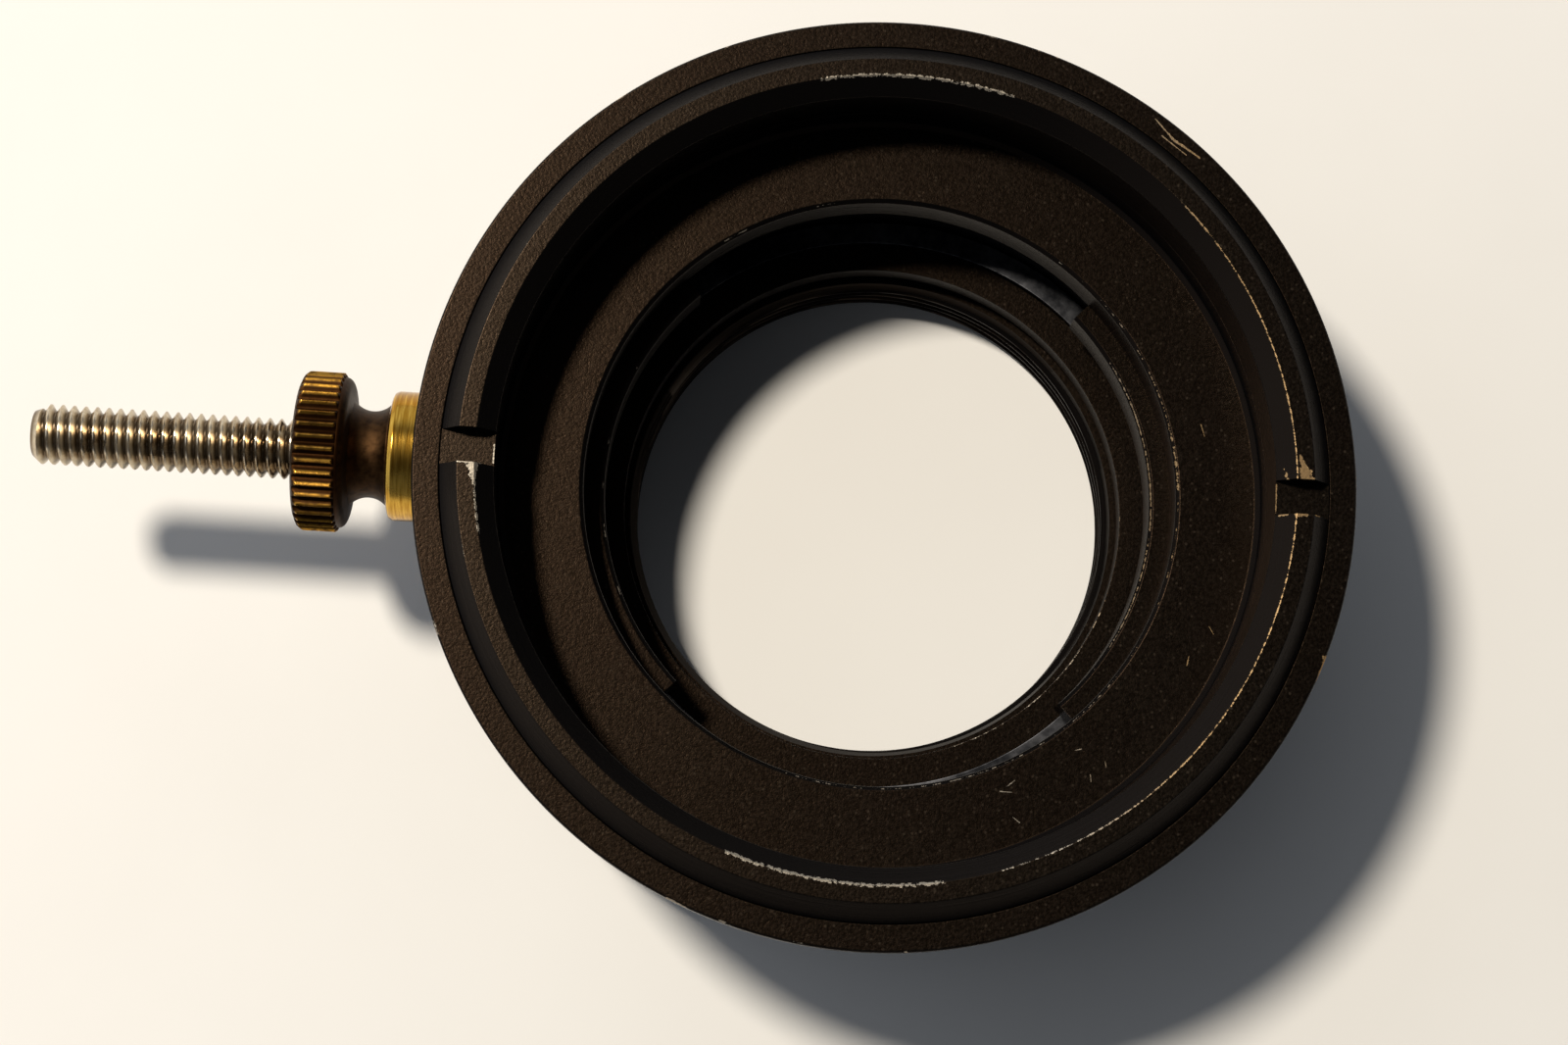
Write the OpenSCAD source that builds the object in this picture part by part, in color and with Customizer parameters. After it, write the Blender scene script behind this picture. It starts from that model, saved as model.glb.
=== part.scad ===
// Bayonet lens adapter ring with a side stud, a knurled nut and a spacer collar.
// Z = 0 is the back face, +Z runs along the lens axis to the slotted front rim,
// and the stud points along -X.

/* [Body] */
// Diameter of the thin front flange
flange_d = 64; // [62:0.5:70]
// Height from the back face to the flange face
flange_z = 20.6; // [20:0.1:24]
// Thickness of the flange
flange_t = 1.5; // [1.2:0.1:1.6]
// Diameter of the body under the flange
body_d = 62.4; // [61.4:0.1:63]
// Diameter of the rear barrel
barrel_d = 56; // [54:0.5:58]
// Height of the rear barrel
barrel_h = 6; // [4:0.5:7]

/* [Front bore] */
// Diameter of the front register bore
register_d = 52.9; // [51:0.1:54]
// Height of the ledge at the bottom of the register bore
ledge_z = 15.1; // [14.6:0.1:15.6]
// Diameter of the throat in the ledge
throat_d = 41.2; // [40.6:0.1:42]
// Thickness of the ledge
ledge_t = 2.9; // [2.4:0.1:3.2]

/* [Slotted ring] */
// How far the raised rim stands above the flange face
rim_h = 1.4; // [1:0.1:2]
// Outer diameter of the rim at its foot
rim_foot_d = 60.2; // [59:0.1:61]
// Outer diameter of the rim's flat top
rim_outer_d = 57.7; // [57:0.1:58.4]
// Inner diameter of the rim's flat top
rim_inner_d = 55.3; // [54.6:0.1:56]
// Width of each spanner slot
slot_w = 2.4; // [1.8:0.1:3]

/* [Bayonet] */
// Diameter across the two lugs
lug_d = 38.4; // [37:0.1:39.6]
// Thickness of the lugs
lug_t = 2.9; // [2:0.1:3]
// Angle that each lug spans
lug_angle = 92; // [60:1:110]
// Number of waves in the spring under the lugs
spring_waves = 4; // [3:1:6]

/* [Rear thread] */
// Crest diameter of the rear internal thread
thread_d = 34; // [32:0.1:36]
// Inner diameter of the floor in front of the threaded insert
floor_d = 35.8; // [35.2:0.1:38]
// Height of the threaded insert's front face
insert_top = 5; // [4.6:0.1:5.2]

/* [Stud] */
// Major diameter of the stud's thread
stud_d = 4.17; // [3.5:0.01:4.8]
// Height of the stud's axis
stud_z = 14.1; // [13.2:0.1:14.1]
// How far the stud's axis lies to the side of the lens axis
stud_y = 0.4; // [0.2:0.1:0.8]
// Distance from the lens axis to the stud's free end
stud_end = 58.6; // [50:0.1:64]
// Distance from the lens axis to the spot face that the collar sits on
seat_x = 30.9; // [30.6:0.1:31]

/* [Nut and collar] */
// Diameter of the brass collar
collar_d = 9; // [8:0.1:9.3]
// Length of the brass collar
collar_l = 3.05; // [2:0.05:4]
// Diameter of the nut's knurled head
head_d = 10.8; // [10.4:0.1:12]
// Length of the nut, from the collar to its outer face
nut_l = 6.3; // [5:0.1:8]
// Smallest diameter of the nut's neck
neck_d = 6; // [5.6:0.1:7]
// Number of ridges round the head
ridges = 40; // [24:1:48]

/* [Hidden] */
$fn = 96;
black = "#231f1c";
steel = "#b9bcc0";
brass = "#b58a3a";
old_brass = "#7d5c2c";
seam = 0.05;
far = 100;

// main body
register_r = register_d / 2;
throat_r = throat_d / 2;
corner = 0.36;
edge = 0.25;
rear_bore_r = 24.5;
rear_fit_r = rear_bore_r - seam;
web_z = ledge_z - ledge_t;
seat_z = flange_z - 1.2;
skirt_z = flange_z - 3.4;
skirt_r = rim_foot_d / 2 - 0.9;

// bayonet stack behind the web
lug_z = web_z - lug_t;
recess_r = 21.6;
floor_z = 6.7;
spring_t = 0.25;
spring_r = [19.9, 21.45];
spring_rise = 0.7;
dowel_r = 0.75;
dowel_pcr = 23;
dowel_z = [10, 14];

// threaded insert and its lock screws
grub_z = 2.4;
grub_r = 1.25;
grub_angles = [30, 150, 270];
grub_span = [23.85, 27.4];

// stud, collar and nut
stud_r = stud_d / 2;
stud_root = 26.85;
collar_x = seat_x + seam;
nut_x = collar_x + collar_l + seam;
nut_bore_r = stud_r + 0.075;

// Turns children about the stud's axis: their Z points outwards along -X.
module on_stud(x) {
    translate([-x, stud_y, stud_z]) rotate([0, -90, 0]) children();
}

// A ring of the given section, as a list of [radius, height] points.
module turned(section) {
    rotate_extrude($fn = 180) polygon(section);
}

// A pair of slots across a ring, opposite each other.
module spanner_slots(from_z, height, inner_r, outer_r, turn) {
    for (side = [0, 180])
        rotate([0, 0, turn + side])
            translate([inner_r, -slot_w / 2, from_z]) cube([outer_r - inner_r, slot_w, height]);
}

// Positions along Z for the two dowels.
module at_dowels() {
    for (side = [-1, 1])
        translate([0, side * dowel_pcr, 0]) children();
}

// Radial positions of the grub screws: children's Z points outwards.
module at_grubs() {
    for (a = grub_angles)
        rotate([0, 0, a]) translate([0, 0, grub_z]) rotate([0, 90, 0]) rotate([0, 0, 20]) children();
}

// Flange, wall, ledge and throat, turned in one piece and bored out from the back.
module main_body() {
    flange_r = flange_d / 2;
    body_r = body_d / 2;
    barrel_r = barrel_d / 2;
    color(black) difference() {
        turned([
            [barrel_r - 0.6, 0], [barrel_r, 0.6], [barrel_r, barrel_h],
            [body_r - 0.6, barrel_h], [body_r, barrel_h + 0.6], [body_r, flange_z - flange_t],
            [flange_r - edge, flange_z - flange_t], [flange_r, flange_z - flange_t + edge],
            [flange_r, flange_z - edge], [flange_r - edge, flange_z],
            [rim_foot_d / 2 + seam, flange_z], [rim_foot_d / 2 + seam, seat_z],
            [skirt_r + seam, seat_z], [skirt_r + seam, skirt_z], [register_r, skirt_z],
            [register_r, ledge_z + corner], [register_r - corner, ledge_z],
            [throat_r + edge, ledge_z], [throat_r, ledge_z - edge], [throat_r, web_z],
            [rear_bore_r, web_z], [rear_bore_r, 0.4], [rear_bore_r + 0.4, 0]]);
        on_stud(stud_root - 0.05) cylinder(r = stud_r + 0.015, h = far);
        on_stud(seat_x) cylinder(d = collar_d + 0.5, h = far);
        at_dowels() cylinder(r = dowel_r + 0.02, h = dowel_z[1] + 0.05);
        at_grubs() translate([0, 0, rear_bore_r - 1]) cylinder(r = grub_r + 0.02, h = far);
    }
}

// Raised front rim, bevelled on both sides, with two slots for a pin spanner.
module slotted_ring() {
    color(black) difference() {
        turned([
            [register_r, skirt_z + 0.1], [skirt_r, skirt_z + 0.1], [skirt_r, seat_z],
            [rim_foot_d / 2, seat_z], [rim_foot_d / 2, flange_z],
            [rim_outer_d / 2, flange_z + rim_h], [rim_inner_d / 2, flange_z + rim_h],
            [register_r, flange_z + 0.3]]);
        spanner_slots(flange_z, far, 0, far, 0);
    }
}

// Ring with two broad lugs that hold the lens's own bayonet claws.
module lug_ring() {
    lug_r = lug_d / 2;
    gap = 180 - lug_angle;
    color(black) difference() {
        turned([[lug_r, lug_z], [rear_fit_r, lug_z], [rear_fit_r, web_z],
                [lug_r + edge, web_z], [lug_r, web_z - edge]]);
        for (side = [90, 270])
            rotate([0, 0, side]) intersection() {
                cylinder(r = recess_r, h = far, $fn = 180);
                linear_extrude(height = far)
                    polygon([[0, 0], for (turn = [-0.5:0.25:0.5]) far * [cos(gap * turn), sin(gap * turn)]]);
            }
        at_dowels() cylinder(r = dowel_r + 0.02, h = far);
    }
}

// Wave washer that presses the lens's claws forward against the lugs.
module wave_spring() {
    steps = 96;
    function lift(i) = spring_rise * (1 - cos(360 * spring_waves * i / steps)) / 2;
    function corner_at(i, r, up) = [r * cos(360 * i / steps), r * sin(360 * i / steps),
                                    floor_z + 0.02 + lift(i) + up];
    ring_points = [
        for (i = [0:steps - 1])
            each [corner_at(i, spring_r[0], 0), corner_at(i, spring_r[1], 0),
                  corner_at(i, spring_r[1], spring_t), corner_at(i, spring_r[0], spring_t)]];
    ring_faces = [
        for (i = [0:steps - 1], k = [0:3])
            each [[4 * i + k, 4 * i + (k + 1) % 4, 4 * ((i + 1) % steps) + (k + 1) % 4],
                  [4 * i + k, 4 * ((i + 1) % steps) + (k + 1) % 4, 4 * ((i + 1) % steps) + k]]];
    color(steel) polyhedron(ring_points, ring_faces);
}

// Screwed in from the back: its rim clamps the lug ring and its floor carries the spring.
module rear_ring() {
    color(black) difference() {
        turned([
            [floor_d / 2, insert_top], [rear_fit_r, insert_top], [rear_fit_r, lug_z],
            [recess_r, lug_z], [recess_r, floor_z], [floor_d / 2, floor_z]]);
        spanner_slots(insert_top - 1, 1.8, 19, 21.5, 90);
    }
}

// Internally threaded ring at the back, with a groove for the lock screws.
module thread_insert() {
    thread_r = thread_d / 2;
    color(black) difference() {
        turned([
            [thread_r, 0], [rear_fit_r, 0], [rear_fit_r, grub_z - 1.1],
            [rear_fit_r - 0.75, grub_z - 0.4], [rear_fit_r - 0.75, grub_z + 0.4],
            [rear_fit_r, grub_z + 1.1], [rear_fit_r, insert_top], [19, insert_top],
            [19, insert_top - 0.5], [thread_r + 0.5, insert_top - 0.5],
            [thread_r, insert_top - 1]]);
        spanner_slots(-1, 2.2, 19.5, 23, 0);
    }
}

// Two pins that keep the lug ring from turning.
module lug_dowels() {
    color(steel) at_dowels()
        translate([0, 0, dowel_z[0]]) cylinder(r = dowel_r, h = dowel_z[1] - dowel_z[0]);
}

// Three hexagon-socket grub screws that lock the threaded insert.
module insert_grub_screws() {
    point_l = 0.9;
    color(steel) at_grubs() difference() {
        union() {
            translate([0, 0, grub_span[0]]) cylinder(r1 = 0.35, r2 = grub_r, h = point_l);
            translate([0, 0, grub_span[0] + point_l])
                cylinder(r = grub_r, h = grub_span[1] - grub_span[0] - point_l);
        }
        translate([0, 0, grub_span[1] - 1.2]) cylinder(r = 0.75, h = far, $fn = 6);
    }
}

// Threaded steel stud, screwed into a blind hole in the body.
module threaded_stud() {
    color(steel) on_stud(stud_root) {
        length = stud_end - stud_root;
        rotate_extrude() polygon([[0, 0], [stud_r - 0.4, 0], [stud_r, 0.4], [stud_r, length - 0.5],
                                  [stud_r - 0.5, length], [0, length]]);
    }
}

// Plain brass collar between the body and the nut.
module brass_collar() {
    collar_r = collar_d / 2;
    bore_r = stud_r + 0.09;
    color(brass) on_stud(collar_x)
        turned([[bore_r, 0], [collar_r - 0.15, 0], [collar_r, 0.15], [collar_r, collar_l - 0.4],
                [collar_r - 0.12, collar_l - 0.12], [collar_r - 0.4, collar_l], [bore_r, collar_l]]);
}

// Brass nut with a knurled head, a rounded shoulder and a hollow neck.
module knurled_nut() {
    head_r = head_d / 2;
    neck_r = neck_d / 2;
    ridge = 0.14;
    outside = head_r + 0.3;
    hollow_r = 1.7;
    hollow_at = 1.35;
    shoulder_r = head_r - 0.17;
    shoulder_at = 3.3;
    neck = [for (a = [-48:12:48])
        [neck_r + hollow_r * (1 - cos(a)), hollow_at + hollow_r * sin(a)]];
    shoulder = [for (a = [90:-15:0])
        [shoulder_r - 0.8 * (1 - cos(a)), shoulder_at - 0.55 * sin(a)]];
    color(old_brass) on_stud(nut_x) intersection() {
        turned(concat(
            [[nut_bore_r + 0.3, 0], [neck_r + 0.6, 0]], neck, shoulder,
            [[outside, shoulder_at + 0.25], [outside, nut_l - 0.65], [head_r - 0.11, nut_l - 0.2],
             [head_r - 0.57, nut_l], [nut_bore_r + 0.3, nut_l], [nut_bore_r, nut_l - 0.3],
             [nut_bore_r, 0.3]]));
        linear_extrude(height = nut_l)
            polygon([for (i = [0:2 * ridges - 1])
                (head_r + (i % 2 == 0 ? ridge : -ridge)) * [cos(180 * i / ridges), sin(180 * i / ridges)]]);
    }
}

main_body();
slotted_ring();
lug_ring();
wave_spring();
rear_ring();
thread_insert();
lug_dowels();
insert_grub_screws();
threaded_stud();
brass_collar();
knurled_nut();
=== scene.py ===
import math
import random

import bmesh
import bpy
from mathutils import Matrix, Vector


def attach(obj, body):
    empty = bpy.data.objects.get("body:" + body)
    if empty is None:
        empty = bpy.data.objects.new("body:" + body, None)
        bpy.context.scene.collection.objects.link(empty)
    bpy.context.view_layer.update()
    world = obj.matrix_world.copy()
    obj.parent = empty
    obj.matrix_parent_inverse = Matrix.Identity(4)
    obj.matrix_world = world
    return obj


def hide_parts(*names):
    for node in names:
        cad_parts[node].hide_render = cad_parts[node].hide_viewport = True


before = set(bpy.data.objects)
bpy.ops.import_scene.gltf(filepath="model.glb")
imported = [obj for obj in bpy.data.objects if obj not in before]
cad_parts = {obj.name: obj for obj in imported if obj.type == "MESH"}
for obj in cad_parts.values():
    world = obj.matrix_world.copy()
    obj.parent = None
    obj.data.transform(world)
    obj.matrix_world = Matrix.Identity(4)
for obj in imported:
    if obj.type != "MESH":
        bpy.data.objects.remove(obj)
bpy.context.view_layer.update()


# Adapter body: flange, wall, ledge and throat, turned from one aluminium bar,
# bead blasted on its flat faces and then anodised black. Handling has worn the
# black through along the sharp edges, where the pale metal shows.
mm = 0.001
flange_r = 32.0
flange_z = 20.6
flange_under_z = 19.1
body_r = 31.2
barrel_r = 28.0
barrel_h = 6.0
register_r = 26.45
ledge_z = 15.1
throat_r = 20.6
web_z = 12.2
rear_bore_r = 24.5
rim_seat_r = 30.15
seat_z = 19.4
skirt_r = 29.25
skirt_z = 17.2
seam = 0.05
stud_y = 0.4
stud_z = 14.1
stud_hole_r = 2.1
stud_hole_x = 26.8
spot_face_x = 30.9
spot_face_r = 4.75
lock_screw_angles = (30, 150, 270)
lock_screw_z = 2.4
lock_hole_r = 1.27
lock_hole_from = 23.5
outside = 40
around = 360


def add(tree, kind, inputs=None, **settings):
    """Adds a node. Each input is a value, or another node's output to link."""
    made = tree.nodes.new(kind)
    for name, value in settings.items():
        setattr(made, name, value)
    for key, value in (inputs or {}).items():
        if isinstance(value, bpy.types.NodeSocket):
            tree.links.new(value, made.inputs[key])
        else:
            made.inputs[key].default_value = value
    return made


def calc(tree, operation, *values):
    """A Math node on numbers or outputs."""
    return add(tree, "ShaderNodeMath", dict(enumerate(values)), operation=operation).outputs[0]


def step_between(tree, value, low, high, to_low=0.0, to_high=1.0):
    """Smooth step from to_low at low up or down to to_high at high."""
    return add(tree, "ShaderNodeMapRange",
               {0: value, 1: low, 2: high, 3: to_low, 4: to_high},
               interpolation_type="SMOOTHSTEP").outputs[0]


def mix(tree, share, first, second):
    """A colour between two. Each is a colour or another node's output."""
    ends = [end if isinstance(end, bpy.types.NodeSocket) else (*end, 1)
            for end in (first, second)]
    return add(tree, "ShaderNodeMix", {0: share, 6: ends[0], 7: ends[1]},
               data_type="RGBA").outputs[2]


def mix_value(tree, share, first, second):
    """A number between two. Each is a number or another node's output."""
    return add(tree, "ShaderNodeMix", {0: share, 2: first, 3: second},
               data_type="FLOAT").outputs[0]


def polar(tree, position):
    """Distance from the Z axis, angle about it, and height."""
    parts = add(tree, "ShaderNodeSeparateXYZ", {0: position}).outputs
    squares = calc(tree, "ADD", calc(tree, "MULTIPLY", parts[0], parts[0]),
                   calc(tree, "MULTIPLY", parts[1], parts[1]))
    return calc(tree, "SQRT", squares), calc(tree, "ARCTAN2", parts[1], parts[0]), parts[2]


def from_polar(tree, radius, angle, height):
    """The point at that radius, angle and height."""
    return add(tree, "ShaderNodeCombineXYZ", {
        0: calc(tree, "MULTIPLY", radius, calc(tree, "COSINE", angle)),
        1: calc(tree, "MULTIPLY", radius, calc(tree, "SINE", angle)),
        2: height}).outputs[0]


def new_tree(name, numbers):
    """A Geometry Nodes tree with the named number inputs. Gives the tree and its inputs."""
    tree = bpy.data.node_groups.new(name, "GeometryNodeTree")
    tree.interface.new_socket("Geometry", in_out="INPUT", socket_type="NodeSocketGeometry")
    for label in numbers:
        tree.interface.new_socket(label, in_out="INPUT", socket_type="NodeSocketFloat")
    tree.interface.new_socket("Material", in_out="INPUT", socket_type="NodeSocketMaterial")
    tree.interface.new_socket("Geometry", in_out="OUTPUT", socket_type="NodeSocketGeometry")
    return tree, add(tree, "NodeGroupInput").outputs


def end_tree(tree, given, geometry):
    """Realize Instances, Set Material, and out."""
    real = add(tree, "GeometryNodeRealizeInstances", {0: geometry}).outputs[0]
    painted = add(tree, "GeometryNodeSetMaterial",
                  {"Geometry": real, "Material": given["Material"]}).outputs[0]
    add(tree, "NodeGroupOutput", {0: painted})
    return tree


def make_turning():
    """Turns a closed section, drawn as radius along X and height along Z, about Z."""
    tree, given = new_tree("turning", ["Segments"])
    count = add(tree, "GeometryNodeAttributeDomainSize", {0: given["Geometry"]},
                component="MESH").outputs["Point Count"]
    grid = add(tree, "GeometryNodeMeshGrid", {
        "Size X": 1.0, "Size Y": 1.0,
        "Vertices X": calc(tree, "ADD", count, 1.0),
        "Vertices Y": calc(tree, "ADD", given["Segments"], 1.0)}).outputs["Mesh"]
    place = add(tree, "ShaderNodeSeparateXYZ",
                {0: add(tree, "GeometryNodeInputPosition").outputs[0]}).outputs
    along = calc(tree, "ROUND", calc(tree, "MULTIPLY", calc(tree, "ADD", place[0], 0.5), count))
    point = add(tree, "GeometryNodeSampleIndex", {
        "Geometry": given["Geometry"],
        "Value": add(tree, "GeometryNodeInputPosition").outputs[0],
        "Index": calc(tree, "MODULO", along, count)}, data_type="FLOAT_VECTOR", domain="POINT")
    section = add(tree, "ShaderNodeSeparateXYZ", {0: point.outputs[0]}).outputs
    angle = calc(tree, "MULTIPLY", calc(tree, "ADD", place[1], 0.5), math.tau)
    turned = add(tree, "GeometryNodeSetPosition", {
        "Geometry": grid, "Position": from_polar(tree, section[0], angle, section[2])}).outputs[0]
    closed = add(tree, "GeometryNodeMergeByDistance",
                 {"Geometry": turned, "Distance": 0.002 * mm}).outputs[0]
    return end_tree(tree, given, closed)


turning = make_turning()


def rounded(section, radius=0.06, steps=3):
    """Rounds each corner of a closed section, with a support point on each side."""
    points = []
    for i, here in enumerate(section):
        here = Vector(here)
        before = Vector(section[i - 1]) - here
        after = Vector(section[(i + 1) % len(section)]) - here
        cut = min(radius, 0.3 * before.length, 0.3 * after.length)
        back, on = before.normalized(), after.normalized()
        if math.degrees(back.angle(-on)) < 8:
            points.append(here)
            continue
        points.append(here + back * cut * 1.5)
        for k in range(steps + 1):
            t = k / steps
            points.append(here + back * cut * (1 - t) ** 2 + on * cut * t ** 2)
        points.append(here + on * cut * 1.5)
    return points


def lathe(name, section, material, segments=around, more=()):
    """Turns a section, in millimetres, to a plain mesh object. Each extra step is a
    Geometry Nodes tree with its values."""
    profile = bpy.data.meshes.new(name)
    count = len(section)
    profile.from_pydata([(p[0] * mm, 0, p[1] * mm) for p in section],
                        [(i, (i + 1) % count) for i in range(count)], [])
    return grow(name, profile, material, [(turning, {"Segments": segments}), *more])


def grow(name, start, material, steps):
    """Runs the steps on a mesh and keeps the result as a plain mesh object."""
    seed = bpy.data.objects.new(name + "_start", start)
    bpy.context.scene.collection.objects.link(seed)
    for tree, values in steps:
        step = seed.modifiers.new(tree.name, "NODES")
        step.node_group = tree
        for item in tree.interface.items_tree:
            if item.in_out == "INPUT" and item.name in values:
                step[item.identifier] = float(values[item.name])
            if item.in_out == "INPUT" and item.name == "Material":
                step[item.identifier] = material
    result = bpy.data.meshes.new_from_object(
        seed.evaluated_get(bpy.context.evaluated_depsgraph_get()))
    bpy.data.objects.remove(seed)
    made = bpy.data.objects.new(name, result)
    bpy.context.scene.collection.objects.link(made)
    smooth(made, material)
    return made


def smooth(obj, material, sharp_above=32):
    """Points the faces outwards, shades them smooth, and leaves real edges sharp."""
    shell = bmesh.new()
    shell.from_mesh(obj.data)
    bmesh.ops.recalc_face_normals(shell, faces=shell.faces)
    shell.to_mesh(obj.data)
    shell.free()
    obj.data.materials.clear()
    obj.data.materials.append(material)
    obj.data.shade_smooth()
    obj.data.set_sharp_from_angle(angle=math.radians(sharp_above))


def cut(obj, cutter_mesh):
    """Takes a closed mesh away from a piece."""
    tool = bpy.data.objects.new("tool", cutter_mesh)
    bpy.context.scene.collection.objects.link(tool)
    taking = obj.modifiers.new("cut", "BOOLEAN")
    taking.operation = "DIFFERENCE"
    taking.solver = "EXACT"
    taking.object = tool
    result = bpy.data.meshes.new_from_object(
        obj.evaluated_get(bpy.context.evaluated_depsgraph_get()))
    obj.modifiers.clear()
    material = obj.data.materials[0]
    obj.data = result
    bpy.data.objects.remove(tool)
    smooth(obj, material)


def rod(radius, start, end, sides=96):
    """A closed cylinder mesh between two points, in millimetres."""
    start, end = Vector(start) * mm, Vector(end) * mm
    shell = bmesh.new()
    bmesh.ops.create_cone(shell, cap_ends=True, segments=sides, radius1=radius * mm,
                          radius2=radius * mm, depth=(end - start).length)
    turn = (end - start).to_track_quat("Z", "Y").to_matrix().to_4x4()
    bmesh.ops.transform(shell, matrix=Matrix.Translation((start + end) / 2) @ turn,
                        verts=shell.verts)
    made = bpy.data.meshes.new("rod")
    shell.to_mesh(made)
    shell.free()
    return made


def block(low, high, turn=0.0):
    """A closed box mesh between two corners in millimetres, turned about Z."""
    shell = bmesh.new()
    bmesh.ops.create_cube(shell, size=1)
    size = Vector(high) - Vector(low)
    middle = (Vector(high) + Vector(low)) / 2
    place = (Matrix.Rotation(math.radians(turn), 4, "Z") @ Matrix.Translation(middle * mm)
             @ Matrix.Diagonal((*(size * mm), 1)))
    bmesh.ops.transform(shell, matrix=place, verts=shell.verts)
    made = bpy.data.meshes.new("block")
    shell.to_mesh(made)
    shell.free()
    return made


def shader_group(name, numbers, vectors=()):
    """A shader group with the named inputs and one mask output."""
    group = bpy.data.node_groups.new(name, "ShaderNodeTree")
    for label in vectors:
        group.interface.new_socket(label, in_out="INPUT", socket_type="NodeSocketVector")
    for label in numbers:
        group.interface.new_socket(label, in_out="INPUT", socket_type="NodeSocketFloat")
    group.interface.new_socket("Mask", in_out="OUTPUT", socket_type="NodeSocketFloat")
    return group, add(group, "NodeGroupInput").outputs


def noise(tree, place, scale, detail=2.0, rough=0.5):
    """A noise value between 0 and 1."""
    return add(tree, "ShaderNodeTexNoise", {
        "Vector": place, "Scale": scale, "Detail": detail, "Roughness": rough}).outputs["Fac"]


def make_rubbed_edge():
    """Bare metal along a circular edge, over part of its way round, broken up by noise."""
    group, given = shader_group(
        "rubbed edge", ["Radius", "Height", "Width", "Middle", "Spread", "Cover", "Ragged",
                        "Patchy"], ["Place"])
    radius, angle, height = polar(group, given["Place"])
    aside = calc(group, "SUBTRACT", radius, given["Radius"])
    above = calc(group, "SUBTRACT", height, given["Height"])
    away = calc(group, "SQRT", calc(group, "ADD", calc(group, "MULTIPLY", aside, aside),
                                    calc(group, "MULTIPLY", above, above)))
    reach = calc(group, "MULTIPLY", given["Width"],
                 step_between(group, given["Ragged"], 0.38, 0.62, 0.08, 1.6))
    line = step_between(group, calc(group, "DIVIDE", away, reach), 0.75, 1.0, 1.0, 0.0)
    turn = calc(group, "ABSOLUTE", calc(
        group, "WRAP", calc(group, "SUBTRACT", angle, given["Middle"]), math.pi, -math.pi))
    fade = step_between(group, calc(group, "DIVIDE", turn, given["Spread"]), 0.55, 1.0)
    missing = calc(group, "SUBTRACT", 1.0, calc(
        group, "MULTIPLY", given["Cover"], calc(group, "SUBTRACT", 1.0, fade)))
    left = step_between(group, calc(group, "SUBTRACT", given["Patchy"], calc(
        group, "ADD", calc(group, "MULTIPLY", missing, 0.62), 0.18)), 0.0, 0.05)
    add(group, "NodeGroupOutput", {0: calc(group, "MULTIPLY", line, left)})
    return group


def make_scrape():
    """A straight mark from one point to another, which may taper, with ragged sides."""
    group, given = shader_group("scrape", ["First width", "Last width", "Ragged"],
                                ["Place", "Start", "End"])

    def vector(operation, a, b=None):
        inputs = {0: a} if b is None else {0: a, 1: b}
        node = add(group, "ShaderNodeVectorMath", inputs, operation=operation)
        return node.outputs["Value" if operation in ("DOT_PRODUCT", "LENGTH") else "Vector"]

    way = vector("SUBTRACT", given["End"], given["Start"])
    here = vector("SUBTRACT", given["Place"], given["Start"])
    along = calc(group, "DIVIDE", vector("DOT_PRODUCT", here, way),
                 vector("DOT_PRODUCT", way, way))
    share = add(group, "ShaderNodeMapRange", {0: along}).outputs[0]
    scaled = add(group, "ShaderNodeVectorMath", {0: way, "Scale": share}, operation="SCALE")
    away = vector("LENGTH", vector("SUBTRACT", here, scaled.outputs["Vector"]))
    widening = calc(group, "MULTIPLY", share, calc(
        group, "SUBTRACT", given["Last width"], given["First width"]))
    reach = calc(group, "MULTIPLY", calc(group, "ADD", given["First width"], widening),
                 step_between(group, given["Ragged"], 0.3, 0.7, 0.45, 1.45))
    add(group, "NodeGroupOutput", {0: step_between(
        group, calc(group, "DIVIDE", away, reach), 0.8, 1.0, 1.0, 0.0)})
    return group


rubbed_edge = make_rubbed_edge()
scrape = make_scrape()


def at(angle, radius, height):
    """A point given by its angle, radius and height in degrees and millimetres."""
    turn = math.radians(angle)
    return Vector((radius * math.cos(turn), radius * math.sin(turn), height)) * mm


ragged_scale = 3000.0
patchy_scale = 420.0
bead_scale = 4600.0
cloud_scale = 90.0
glint_scale = 3600.0
dust_scale = 330.0
tool_line_scale = 9000.0
blasted_dark = (0.0008, 0.0008, 0.0007)
blasted_light = (0.0032, 0.0030, 0.0026)
turned_dark = (0.0012, 0.0013, 0.0017)
turned_light = (0.0026, 0.0024, 0.0023)
glint_colour = (0.050, 0.038, 0.027)
dust_colour = (0.22, 0.19, 0.15)
bare_dark = (0.12, 0.10, 0.075)
bare_light = (0.52, 0.46, 0.37)
# Painted warm shade: bare metal is painted darker and browner towards +X, for how the light falls
# on that side.
bare_warm_shade = (0.34, 0.22, 0.105)
warm_shade_from_x = 12
warm_shade_full_x = 22
bare_rough = 0.42
bead_relief = 0.000045


def cells(tree, place, scale, channel):
    """A random value for each cell of a Voronoi pattern, and the distance from its middle."""
    pattern = add(tree, "ShaderNodeTexVoronoi", {"Vector": place, "Scale": scale})
    value = add(tree, "ShaderNodeSeparateColor", {0: pattern.outputs["Color"]}).outputs[channel]
    return value, pattern.outputs["Distance"]


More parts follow.
